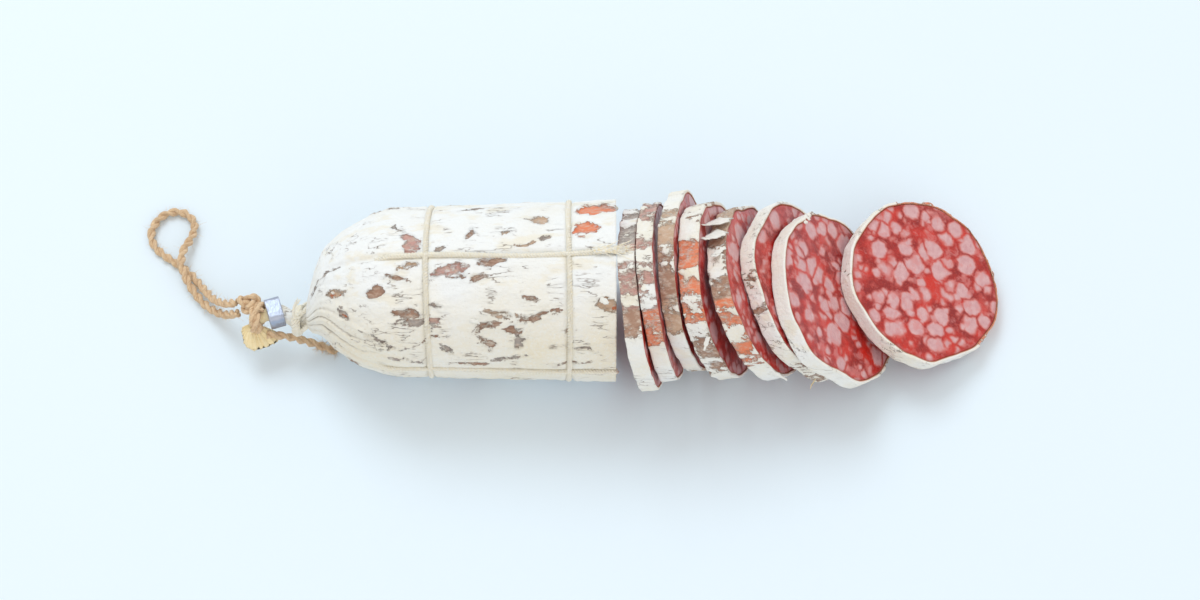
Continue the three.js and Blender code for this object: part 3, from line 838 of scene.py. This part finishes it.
def peeled_elsewhere():
    """Patches of the same kinds over the side that the photograph doesn't show."""
    random = np.random.default_rng(12)
    kinds = [(PINK, 4, 2), (BROWN, 3, 0.8), (BROWN, 4, 0.9), (TAN, 3, 1.5), (GREY, 4, 0.5), (GREY, 2, 1)]
    found = []
    for _ in range(58):
        tint, half_length, half_height = kinds[random.integers(len(kinds))]
        size = random.uniform(0.6, 1.25)
        place = (random.uniform(-80, -2), random.uniform(142, 352))
        found.append((*place, half_length * size, half_height * size, random.normal(0, 18), tint))
    return found


def peeled_field(x, angle):
    """How far inside a peeled patch each point is, in millimetres, and the colour there."""
    unrolled = np.stack([x, np.cos(angle) * 24, np.sin(angle) * 24], -1)
    shift_x = 2.6 * rough(unrolled, (4, 1.8, 1.8), 31, 4)
    shift_round = 1.7 * rough(unrolled, (2.8, 1.5, 1.5), 32, 4)
    radius = np.maximum(body_radius(x), 5)
    field = np.full(x.shape, -2.0)
    tint = np.tile(TAN, (*x.shape, 1))
    for place, round_place, half_length, half_height, slant, colour in PEELED + peeled_elsewhere():
        along = x - place + shift_x
        around = np.radians(turn_between(angle, round_place)) * radius + shift_round
        turn = math.radians(slant)
        u = (along * math.cos(turn) + around * math.sin(turn)) / half_length
        v = (around * math.cos(turn) - along * math.sin(turn)) / half_height
        inside = (1 - np.hypot(u, v)) * half_height
        nearer = inside > field
        field[nearer] = inside[nearer]
        tint[nearer] = colour
    return field, tint


def crust_height(points, bare):
    """How far the crust stands proud of the plain shape, in millimetres."""
    lumps = 0.38 * rough(points, 13, 41) + 0.3 * rough(points, (4.5, 2.4, 2.4), 42)
    grain = 0.07 * rough(points, 0.9, 43, 2)
    lip = 0.28 * smooth(bare, -0.9, -0.1) * smooth(bare, 0.25, 0)
    return lumps + grain + lip - 0.5 * smooth(bare, -0.05, 0.3)


def pleats(x, angle):
    """Folds that run into the neck, deepest at the tie."""
    past = FILLING_END - x
    wander = 1.4 * rough(np.stack([x * 0.5, np.cos(angle) * 9, np.sin(angle) * 9], -1), 4, 51)
    fold = np.abs(np.sin(13 * angle + wander)) ** 0.5 - 0.7
    fine = np.abs(np.sin(27 * angle + 2 * wander)) ** 0.7 - 0.6
    lower = 0.35 + 0.65 * smooth(np.sin(angle - 0.3), 0.75, 0.1)
    body = smooth(past, -32, -4) * smooth(past, 4, 1) * lower
    return body * (0.85 * fold + 0.4 * fine)


def casing_rings():
    neck = FILLING_END - np.linspace(NECK_END, 0.1, 66)
    rounding = FILLING_END + ROUND_END * np.linspace(0, 1, 76) ** 1.5
    straight = np.linspace(FILLING_END + ROUND_END, 0, 112)[1:]
    return np.concatenate([neck, rounding, straight])


CASING_COLUMNS = 270
CUT_ROUNDING = 0.25


def casing_wall(angle):
    """Rings over the cut edge and along the inside of the casing, back to the neck."""
    rings = []
    for x, inset in ((0, CUT_ROUNDING), (0, 0.6), (-0.3, SKIN)):
        rings.append(skin_point(np.full_like(angle, x), angle, inset))
    inside_x = np.concatenate([np.linspace(-1.5, FILLING_END + 20, 26), np.linspace(-69.5, -87, 12)])
    wall = skin_point(*np.meshgrid(inside_x, angle, indexing="ij"), inset=SKIN)
    return np.concatenate([rings, wall])


def add_casing():
    """The casing from the twine to its cut edge and back inside, with the mould's fields on it."""
    angle = round_angles(CASING_COLUMNS)
    x, turn = np.meshgrid(casing_rings(), angle, indexing="ij")
    plain = skin_point(x, turn)
    bare, tint = peeled_field(x, turn)
    past = FILLING_END - x
    under_string = smooth(string_distance(x, turn), 0.6, 1.4)
    crusted = smooth(past, 8, 2) * mix(1, under_string, sunk(x))
    folds = pleats(x, turn)
    proud = crust_height(plain, bare) * crusted + folds
    wall = casing_wall(angle)
    points, faces = closed_tube(np.concatenate([skin_point(x, turn, inset=-proud), wall]))

    inset = np.full(wall.shape[:2], SKIN)
    inset[0] = CUT_ROUNDING
    # Painted shade: the crust is made creamier towards the front and underside, on top of its real cream
    # tone from the noise.
    lower = smooth(np.degrees(turn), 75, 20) + smooth(np.degrees(turn), 300, 350)
    cream = np.clip(0.05 + 0.4 * rough(plain, 11, 53) + 0.6 * lower, 0, 1)

    def with_wall(values, on_wall):
        filler = np.full((len(wall), *values.shape[1:]), on_wall, float)
        return np.concatenate([values, filler])

    fields = mould_fields(
        len(points), bare=with_wall(bare, -2), tint=with_wall(tint, 0.3), cream=with_wall(cream, 0.5),
        # fold sets painted shade in the pleats.
        inset=np.concatenate([np.zeros(x.shape), inset]), fold=with_wall(smooth(-folds, 0.05, 0.5), 0),
    )
    fields["tuft"] = with_wall(smooth(past, 8, 12), 0).reshape(-1)
    add_piece("mouldy_casing", points, faces, MOULD, ["sausage_casing"], fields)


add_casing()

# ---- Meat and slices ----


def disc_rings(front_x, back_x, radius_at, columns, ring_shares, bevel=0.35):
    """Rings of a disc from the middle of its front face, over its edge, to the middle of its back."""
    angle = round_angles(columns)
    edge = radius_at(angle)
    rings, rind_gaps = [], []

    def add_ring(x, radius):
        rings.append(np.stack([np.full(columns, x), radius * np.cos(angle), radius * np.sin(angle)], -1))
        rind_gaps.append(edge - radius)

    for share in ring_shares:
        add_ring(front_x, (edge - bevel) * share)
    for turn in np.radians([30, 60, 90]):
        add_ring(front_x - bevel * (1 - math.cos(turn)), edge - bevel * (1 - math.sin(turn)))
    for turn in np.radians([90, 60, 30]):
        add_ring(back_x + bevel * (1 - math.cos(turn)), edge - bevel * (1 - math.sin(turn)))
    for share in ring_shares[::-1]:
        add_ring(back_x, (edge - bevel) * share)
    return np.array(rings), np.array(rind_gaps)


def add_filling():
    """The uncut half's meat: a dense cut face, and a plain body that the casing hides."""
    angle = round_angles(120)
    shares = np.linspace(0.03, 1, 22)
    edge = skin_point(np.full_like(angle, -0.05), angle, SKIN + 0.1)
    middle = edge.mean(axis=0)
    face = [middle + (edge - middle) * share for share in shares]
    back_x = np.concatenate([np.linspace(-2, -66, 20), np.linspace(-70, -84, 8)])
    body = skin_point(*np.meshgrid(back_x, angle, indexing="ij"), inset=SKIN + 0.15)
    rings = np.concatenate([face, body])
    gaps = [np.linalg.norm(edge - ring, axis=1) for ring in face]
    gaps = np.concatenate([np.concatenate(gaps), np.zeros(body.shape[0] * len(angle))])
    points, faces = closed_tube(rings)
    height = body_radius(np.array(0.0)) - FLATTENING
    fields = {"meat_place": points - np.array([0, 0, height]), "to_rind": gaps}
    add_piece("uncut_meat", points, faces, MEAT, ["sausage_filling"], fields)


def slice_outline(angle, order):
    wave = 0.014 * np.cos(2 * angle + 0.6 + order) + 0.01 * np.cos(3 * angle + 2 - order * 0.7)
    place = np.stack([np.cos(angle) * 9, np.sin(angle) * 9, 0 * angle + 30 * order], -1)
    wobble = 0.085 * rough(place, 4.6, 60 + order)
    return SLICE_RADIUS * (0.996 + wave + wobble + 0.005 * np.cos(5 * angle + order * 2.1))


# What shows on each slice's rim: from and to, in degrees round the slice (28 is the top of the
# photograph and 208 the bottom), the colour under the crust, and how much of it shows.
RIMS = [
    [(15, 80, GREY, 0.6), (80, 122, PINK, 0.5), (122, 140, BROWN, 0.85), (220, 330, TAN, 0.5)],
    [(15, 100, PINK, 0.42), (100, 128, PINK, 0.5), (128, 152, ORANGE, 0.9), (230, 300, BROWN, 0.4)],
    [(64, 150, TAN, 0.66), (100, 130, BROWN, 0.72), (200, 290, TAN, 0.5)],
    [(20, 74, BROWN, 0.42), (84, 140, ORANGE, 0.66), (140, 196, BROWN, 0.4), (240, 340, PINK, 0.5)],
    [(20, 72, TAN, 0.6), (72, 118, BROWN, 0.5), (118, 172, ORANGE, 0.62), (215, 300, TAN, 0.5)],
    [(100, 125, BROWN, 0.32), (172, 200, BROWN, 0.45), (225, 320, PINK, 0.4)],
    [(20, 44, BROWN, 0.4), (150, 165, TAN, 0.35), (230, 330, TAN, 0.5)],
    [(238, 392, ORANGE, 0.75), (100, 118, BROWN, 0.35)],
]


def rim_field(local, angle, order):
    """The peeled field of a slice's rim, as peeled_field gives it for the casing."""
    degrees = np.degrees(angle)
    field = np.full(angle.shape, -2.0)
    tint = np.tile(TAN, (*angle.shape, 1))
    for start, end, colour, cover in RIMS[order]:
        middle, half = (start + end) / 2, (end - start) / 2
        turn = np.abs((degrees - middle + 180) % 360 - 180)
        inside = np.minimum(np.radians(half - turn) * SLICE_RADIUS, 2.4 * (cover - 0.5))
        nearer = inside > field
        field[nearer] = inside[nearer]
        tint[nearer] = colour
    wide = rough(local + 60 * order, (6, 3.4, 3.4), 61)
    return field + 1.9 * wide + 0.3 * rough(local, 0.9, 62, 2), tint


RIM_COLUMNS = 260


def slice_rind(order, thickness):
    """Points, faces and fields of a slice's ring of casing, in the slice's own directions."""
    angle = round_angles(RIM_COLUMNS)
    half = thickness / 2
    across = np.linspace(-half + 0.12, half - 0.12, 13)
    profile = [(x, 0.0) for x in across] + [(half, 0.14), (half, 0.45), (half, SKIN)]
    profile += [(x, SKIN) for x in np.linspace(half - 1, -half + 1, 3)]
    profile += [(-half, SKIN), (-half, 0.45), (-half, 0.14)]
    x, inset = np.array(profile).T
    x, turn = np.meshgrid(x, angle, indexing="ij")
    inset = np.broadcast_to(inset[:, None], x.shape)
    radius = slice_outline(turn, order)
    local = np.stack([x, radius * np.cos(turn), radius * np.sin(turn)], -1)
    bare, tint = rim_field(local, turn, order)
    outer = smooth(inset, 0.5, 0.1)
    proud = outer * (crust_height(local + 37 * order, bare) * 0.8 + 0.1)
    edge_wander = 0.14 * rough(local, 2.4, 63) * smooth(np.abs(x), half - 0.5, half)
    radius = radius - inset + proud
    rings = np.stack([x + edge_wander, radius * np.cos(turn), radius * np.sin(turn)], -1)
    cream = np.clip(0.35 + 0.5 * rough(local, 7, 64 + order), 0, 1)
    fields = mould_fields(x.size, bare=bare, tint=tint, cream=cream, inset=inset)
    return rings.reshape(-1, 3), ring_faces(len(profile), RIM_COLUMNS, looped=True), fields


def slice_meat(order, thickness, cut_at):
    """Points, faces and fields of a slice's meat, in the slice's own directions. cut_at is how far
    from the cut face it lay before slicing."""
    def edge(angle):
        return slice_outline(angle, order) - SKIN - 0.04

    half = thickness / 2 - 0.04
    rings, gaps = disc_rings(half, -half, edge, 150, np.linspace(0.02, 1, 34))
    relief = 0.16 * rough(rings + 50 * order, 5, 71) + 0.06 * rough(rings, 1.5, 72)
    rings[..., 0] += relief * smooth(gaps, 0.2, 1.5) * np.sign(rings[..., 0])
    points, faces = closed_tube(rings)
    place = points + np.array([cut_at + half, 0, 0])
    return points, faces, {"meat_place": place, "to_rind": gaps.reshape(-1)}


def slice_place(order):
    """A slice's turn, and its middle in the row frame in millimetres, from its CAD node."""
    _, lean, turn = SLICES[order]
    tilt = Matrix.Rotation(math.radians(-lean), 3, "Y")
    turned = np.array(Matrix.Rotation(math.radians(turn), 3, "Z") @ tilt)
    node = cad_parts[f"slice_{order + 1}_meat"]
    corners = np.unique(np.round([tuple(vertex.co) for vertex in node.data.vertices], 6), axis=0)
    return turned, corners.mean(axis=0) / MM


def curled_strip(start, along, out, length, width, curl, seed):
    """A thin tapering strip of crust that curls away from what it was on."""
    along, out = along / np.linalg.norm(along), out / np.linalg.norm(out)
    across = np.cross(along, out)
    share = np.linspace(0, 1, 14)[:, None]
    middle = start + along * np.sin(curl * share) / curl * length
    middle = middle + out * (1 - np.cos(curl * share)) / curl * length
    sides = np.linspace(-0.5, 0.5, 6)
    wide = width * (1 - 0.6 * share**2) * (1 + 0.85 * rough(middle, 0.9, seed)[:, None])
    top = middle[:, None] + across * (wide * sides[None, :])[..., None]
    top = top + out * 0.35 * rough(top, 1.2, seed + 1)[..., None]
    return closed_tube(np.concatenate([top, top[:, ::-1] - out * 0.3], axis=1))


def crumb(middle, radius, seed):
    """A knobbly lump of mould."""
    rise = np.radians(np.linspace(-80, 80, 9))[:, None]
    turn = round_angles(14)[None, :]
    shape = np.broadcast_arrays(np.cos(rise) * np.cos(turn), np.cos(rise) * np.sin(turn), np.sin(rise))
    shape = np.stack(shape, -1)
    size = radius * (1 + 0.5 * rough(shape + seed, 0.7, seed))
    return closed_tube(middle + shape * size[..., None])


# Strips standing off slice 5's rim: place in degrees, lean towards the cut, length and width.
STRIPS_ON_RIM = [(56, -1.1, 9, 6), (70, -1.3, 7, 5), (84, -0.7, 4.5, 3)]
# Flaps on the casing: x, place in degrees, slant, length and width.
FLAPS = [(-4.5, 56, 0.6, 3.4, 2.2), (-78.5, 61, -0.5, 3, 1.2), (-40, 43, 0.2, 3.6, 1)]


def on_rim(order, across, degrees, sunk_by):
    """A place on a slice's rim, in the model's frame, and the ways out from it and round it."""
    turned, middle = slice_place(order)
    angle = math.radians(degrees)
    out = turned @ np.array([0, math.cos(angle), math.sin(angle)])
    around = turned @ np.array([0, -math.sin(angle), math.cos(angle)])
    off_middle = turned @ np.array([across, 0, 0]) + out * (SLICE_RADIUS - sunk_by)
    return middle - ORIGIN + off_middle, out, around


def rim_strips():
    """Crust that stands off the rims of slices 4 and 5."""
    strips = []
    for degrees, lean, length, width in STRIPS_ON_RIM:
        start, out, around = on_rim(4, 1.6, degrees, 0.2)
        along = around + np.array([lean, -0.4, 0])
        strips.append(curled_strip(start, along, out, length, width, 0.5, 200 + degrees))
    start, out, around = on_rim(3, 2.4, 150, 0.2)
    strips.append(curled_strip(start, around + np.array([-0.5, 0, 0]), out, 4, 1.6, 0.6, 220))
    start, out, around = on_rim(4, 1.5, 186, 0.3)
    strips.append(curled_strip(start, around + np.array([0.8, 0, 0]), out, 6, 1.8, 0.4, 221))
    return strips


def crust_flaps():
    """Crust that stands off the casing."""
    flaps = []
    for x, degrees, slant, length, width in FLAPS:
        place = (np.array(x), np.array(math.radians(degrees)))
        start = skin_point(*place, grooved=False)
        along = np.array([1, -slant, slant * 0.4])
        out = skin_normal(*place)
        flaps.append(curled_strip(start, along, out, length, width, 1.0, 230 + degrees))
    return flaps


def crumbs():
    """A clump of mould on top of slice 7's rim."""
    start, out, around = on_rim(6, 2.0, 38, 0.2)
    random = np.random.default_rng(4)
    made = []
    for number in range(16):
        spread = random.normal(0, 0.75, 3)
        middle = start + around * 1.4 * spread[0] + out * 0.6 * spread[1]
        made.append(crumb(middle, random.uniform(0.3, 0.75), 240 + number))
    return made


def add_loose_crust():
    """The loose bits of crust, and a flap of casing at the foot of slice 6."""
    points, faces = joined([*rim_strips(), *crust_flaps(), *crumbs()])
    add_piece("loose_crust", points, faces, MOULD, fields=mould_fields(len(points)))
    start, out, around = on_rim(5, -1.5, 203, 0.3)
    points, faces = curled_strip(start, around * 0.3 + np.array([-0.8, -0.6, 0]), out, 3.6, 3, 0.7, 260)
    add_piece("casing_flap", points, faces, MOULD, fields=mould_fields(len(points), tuft=1.0))


def add_tuft():
    """The casing's dried end beyond the twine: a thin pleated fan that lies over to the front."""
    _, _, centre_y, centre_z = section(np.array(FILLING_END - NECK_END))
    start = np.array([FILLING_END - NECK_END + 0.8, centre_y - 0.6, centre_z - 0.6])
    degrees = np.linspace(-176, -10, 150)
    turn = np.radians(degrees)
    jagged = 0.9 * rough(np.stack([degrees / 7] * 3, -1), 1.0, 301, 3)
    reach = 3.4 + 3.4 * smooth(degrees, -165, -80) + jagged + 0.8 * smooth(degrees, -60, -20)
    pleat = np.abs(np.sin(turn * 12 + 0.6 * np.sin(turn * 5))) - 0.5
    share = np.linspace(0.08, 1, 26)[:, None]
    out = reach * share
    height = start[2] - 0.5 * out * share + 0.6 * pleat * share + 0.3 * share * jagged
    top = np.stack([start[0] + out * np.cos(turn), start[1] + out * np.sin(turn), height], -1)
    under = top[:, ::-1] - np.array([0, 0, 0.25])
    points, faces = closed_tube(np.concatenate([top, under], axis=1))
    add_piece("casing_tuft", points, faces, MOULD, fields=mould_fields(len(points), tuft=1.0))


def add_slices():
    cut_at = 0.0
    for order, (thickness, _, _) in enumerate(SLICES):
        turned, middle = slice_place(order)
        for part, node, look, slot, made in (
            ("lean_and_fat", "meat", MEAT, "meat", slice_meat(order, thickness, cut_at)),
            ("mouldy_rim", "rind", MOULD, "casing", slice_rind(order, thickness)),
        ):
            points, faces, fields = made
            here = above_table(points @ turned.T + middle)
            name = f"slice_{order + 1}_{part}"
            replaced = [f"slice_{order + 1}_{node}"]
            add_piece(name, here, faces, look, replaced, fields, placed=True)
        cut_at += thickness


add_filling()
add_slices()
add_loose_crust()
add_tuft()

# ---- The net ----


def string_place(x, angle, deeper=0.0):
    """The middle of a string on the casing, so far out of its place in the CAD that the crust
    leaves it showing, and the way out from it."""
    above = NET_STRING / 2 + 0.6
    depth = mix(-above, STRING_SINK, sunk(x)) + deeper - STRING_RAISED
    away = skin_normal(x, angle)
    return skin_point(x, angle, grooved=False) - away * depth[..., None], away


def net_string(line, away, seed, ends=None):
    _, line, away = resampled(line, 0.25, away)
    away /= np.linalg.norm(away, axis=1, keepdims=True)
    return spun(line, 3, 0.42, 0.42, 2.6, sides=6, first=away, seed=seed, fuzz=0.2, ends=ends)


def add_frayed_end(end):
    """A brush of loose fibres where the top string frays towards its cut end."""
    random = np.random.default_rng(10)
    hairs = []
    for _ in range(150):
        back = random.uniform(0, 7)
        direction = np.array([1, random.normal(0.12, 0.2), random.normal(0.07, 0.05)])
        length = random.uniform(3, 5.6)
        share = np.linspace(0, 1, 8)[:, None]
        sway = random.normal(0, 0.5, 3) * share**2
        start = end + random.normal(0, 0.25, 3) - np.array([back, 0, 0])
        hairs.append(hair(start + (direction * share + 0.12 * sway) * length, 0.13, 0.6, 4))
    add_hairs("frayed_end", hairs, STRING)


def add_hoops():
    hoops = []
    for number, place in enumerate(HOOPS_FROM_CUT):
        angle = np.radians(np.linspace(268, 628, 500))
        x = np.full_like(angle, -place) + 0.35 * np.sin(2 * angle + number)
        hoops.append(net_string(*string_place(x, angle, 0.14), 80 + number))
    add_spun("net_hoops", hoops, STRING, ["netting"])


def add_lengthwise_strings():
    """The strings from the tie to the cut, under the crust near the neck. The top one frays."""
    strings = []
    for number, place in enumerate(LENGTHWISE_ANGLES):
        frayed = place == TOP_STRING
        x = np.concatenate([np.linspace(-87.6, -61, 160), np.linspace(-60.8, 0, 240)])
        angle = np.radians(place + 1.2 * np.sin(x / 9 + number))
        line, away = string_place(x, angle, 2.4 * smooth(-x, 62, 72))
        start, start_away = neck_helix(TIE_AT, TIE_AT, 1 / 60, 1.2, math.radians(place))
        end = line[-1:] + np.array([[2.2 if frayed else 0.3, 0, 0.2]])
        line = np.concatenate([start[:1], line, end])
        away = np.concatenate([start_away[:1], away, away[-1:]])
        strings.append(net_string(line, away, 90 + number, ends=1.6 if frayed else None))
    add_spun("net_lengthwise", strings, STRING)


def add_tie():
    """The string's turns round the neck, and their loose end."""
    turns, away = neck_helix(TIE_AT, TIE_AT + 2 * TIE_SPACING, TIE_TURNS, 1.1, math.radians(70))
    steps = np.array([(0, 0, 0), (-1.2, -0.4, 2), (-1, 1.4, 4.2), (0.4, 3, 6)])
    loose = resampled(curve_through(turns[0] + steps), 0.25)[1]
    loose_string = spun(loose, 3, 0.27, 0.24, 2.3, sides=6, seed=99, fuzz=0.25, ends=1.2)
    add_spun("net_tie", [net_string(turns, away, 98), loose_string], STRING)


def add_net():
    add_hoops()
    add_lengthwise_strings()
    add_tie()
    top, _ = string_place(np.linspace(-86, 0, 300), np.full(300, math.radians(TOP_STRING)))
    add_fibres("net_fibres", top, 160, 1.1, 0.035, STRING, 8)
    add_frayed_end(top[-1] + np.array([0.2, 0, 0.75]))


add_net()

# ---- The clip ----

CLIP_SKEW = math.radians(18)  # the clip was pressed on a little askew


def add_clip():
    """The CAD clip with its edges rounded over, as bent sheet has."""
    shaped = bmesh.new()
    shaped.from_mesh(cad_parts["clip"].data)
    bmesh.ops.remove_doubles(shaped, verts=shaped.verts, dist=1e-6)
    edges = list(shaped.edges)
    bmesh.ops.dissolve_limit(shaped, angle_limit=0.02, verts=shaped.verts, edges=edges)
    sharp = [edge for edge in shaped.edges if edge.calc_face_angle(0) > math.radians(50)]
    bmesh.ops.bevel(shaped, geom=sharp, offset=0.3 * MM, segments=4, affect="EDGES", profile=0.5)
    middle = (CLIP_BOX[0] + CLIP_BOX[1]) / 2
    turned = Matrix.Rotation(CLIP_SKEW, 4, "Z")
    shaped.transform(Matrix.Translation(middle) @ turned @ Matrix.Translation(-middle))
    mesh = bpy.data.meshes.new("bent_clip")
    shaped.to_mesh(mesh)
    shaped.free()
    mesh.materials.append(ALUMINIUM)
    mesh.shade_smooth()
    clip = new_object("bent_clip", mesh)
    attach(clip, "root")
    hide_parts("clip")


add_clip()

# ---- Floor and light ----


def add_floor():
    shader = Shader("studio_floor")
    shader.set(Base_Color=rgba(linear(227, 240, 250)), Roughness=0.7)
    mesh = bpy.data.meshes.new("floor")
    mesh.from_pydata([(-4, -4, 0), (4, -4, 0), (4, 4, 0), (-4, 4, 0)], [], [(0, 1, 2, 3)])
    mesh.materials.append(shader.material)
    new_object("floor", mesh)


def add_light(name, place, size, power, colour=(1, 1, 1)):
    data = bpy.data.lights.new(name, "AREA")
    data.size = size
    data.energy = power
    data.color = colour
    light = new_object(name, data)
    light.location = AIM + Vector(place)
    light.rotation_euler = (-Vector(place)).to_track_quat("-Z", "Y").to_euler()


def add_world():
    world = bpy.data.worlds.new("studio")
    world.use_nodes = True
    background = world.node_tree.nodes["Background"]
    background.inputs["Color"].default_value = (1.0, 0.965, 0.925, 1.0)
    background.inputs["Strength"].default_value = 0.8
    bpy.context.scene.world = world


add_floor()
add_light("window", (-0.56, 1, 1.6), 1, 14.5, (0.8, 0.92, 1))
add_light("fill", (0.6, -1, 0.9), 1.2, 3.2)
add_world()
bpy.context.scene.view_settings.view_transform = "Standard"
